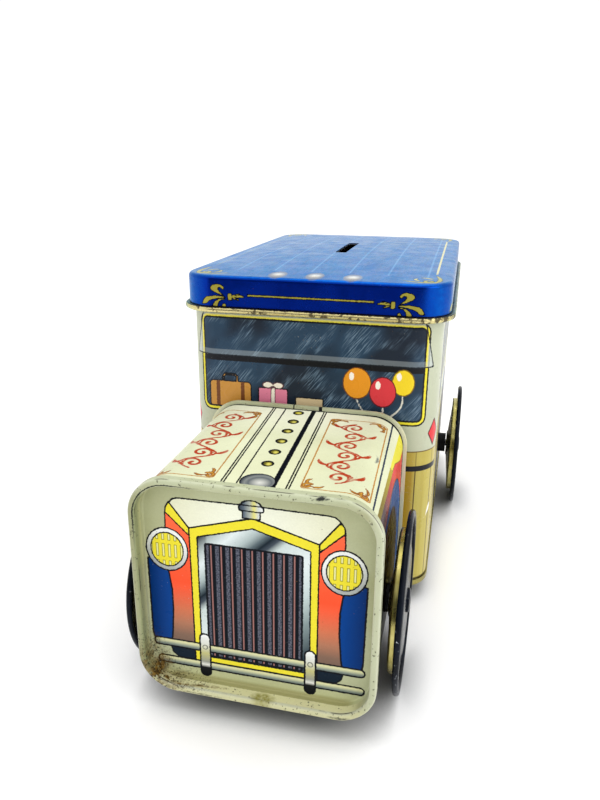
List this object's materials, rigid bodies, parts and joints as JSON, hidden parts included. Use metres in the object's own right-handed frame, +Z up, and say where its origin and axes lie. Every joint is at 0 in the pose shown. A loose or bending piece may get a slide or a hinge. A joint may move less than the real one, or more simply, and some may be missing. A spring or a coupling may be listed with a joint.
{
  "type": "tin money box",
  "caption": "Printed tinplate money box shaped like an old bus: slip-on roof lid with a coin slot over a deep coin chamber, bonnet box in front, tin wheels that roll on steel axles.",
  "frame": {"origin": "on the floor under the middle of the whole object, where its wheels stand", "axes": "+Z up, the bus drives towards -Y, +X is to the right of someone who faces its radiator"},
  "size_m": [0.1014, 0.209, 0.1142],
  "materials": {
    "printed_cab": "gloss lithographed tinplate, cream and tan",
    "printed_bonnet": "gloss lithographed tinplate, cream",
    "printed_front": "gloss lithographed tinplate, khaki cream rim and printed radiator",
    "blue_roof": "gloss royal blue lithographed tinplate, gold lines and curl",
    "gold_lacquer": "gold lacquered tinplate",
    "black_enamel": "gloss black enamelled tinplate",
    "bright_steel": "bright drawn steel",
    "black_bush": "black moulded plastic"
  },
  "bodies": {
    "body": {"cab_wall": "printed_cab", "cab_floor": "gold_lacquer", "bonnet_wall": "printed_bonnet", "grille_panel": "printed_front", "bonnet_back_panel": "printed_bonnet", "bonnet_rivets": "bright_steel", "front_left_bush": "black_bush", "front_right_bush": "black_bush", "rear_left_bush": "black_bush", "rear_right_bush": "black_bush"},
    "lid": {"roof_lid": "blue_roof"},
    "front_wheels": {"front_axle": "bright_steel", "front_left_hub_drum": "gold_lacquer", "front_left_tyre_disc": "black_enamel", "front_left_axle_cap": "black_enamel", "front_right_hub_drum": "gold_lacquer", "front_right_tyre_disc": "black_enamel", "front_right_axle_cap": "black_enamel"},
    "rear_wheels": {"rear_axle": "bright_steel", "rear_left_hub_drum": "gold_lacquer", "rear_left_tyre_disc": "black_enamel", "rear_left_axle_cap": "black_enamel", "rear_right_hub_drum": "gold_lacquer", "rear_right_tyre_disc": "black_enamel", "rear_right_axle_cap": "black_enamel"}
  },
  "joints": [
    {"name": "lid_lift", "type": "slide", "parent": "body", "child": "lid", "axis": [0, 0, 1], "range_m": [0, 0.04]},
    {"name": "front_roll", "type": "hinge", "parent": "body", "child": "front_wheels", "pos_m": [0, -0.07445, 0.0262], "axis": [1, 0, 0], "continuous": true},
    {"name": "rear_roll", "type": "hinge", "parent": "body", "child": "rear_wheels", "pos_m": [0, 0.05005, 0.0262], "axis": [1, 0, 0], "continuous": true}
  ]
}
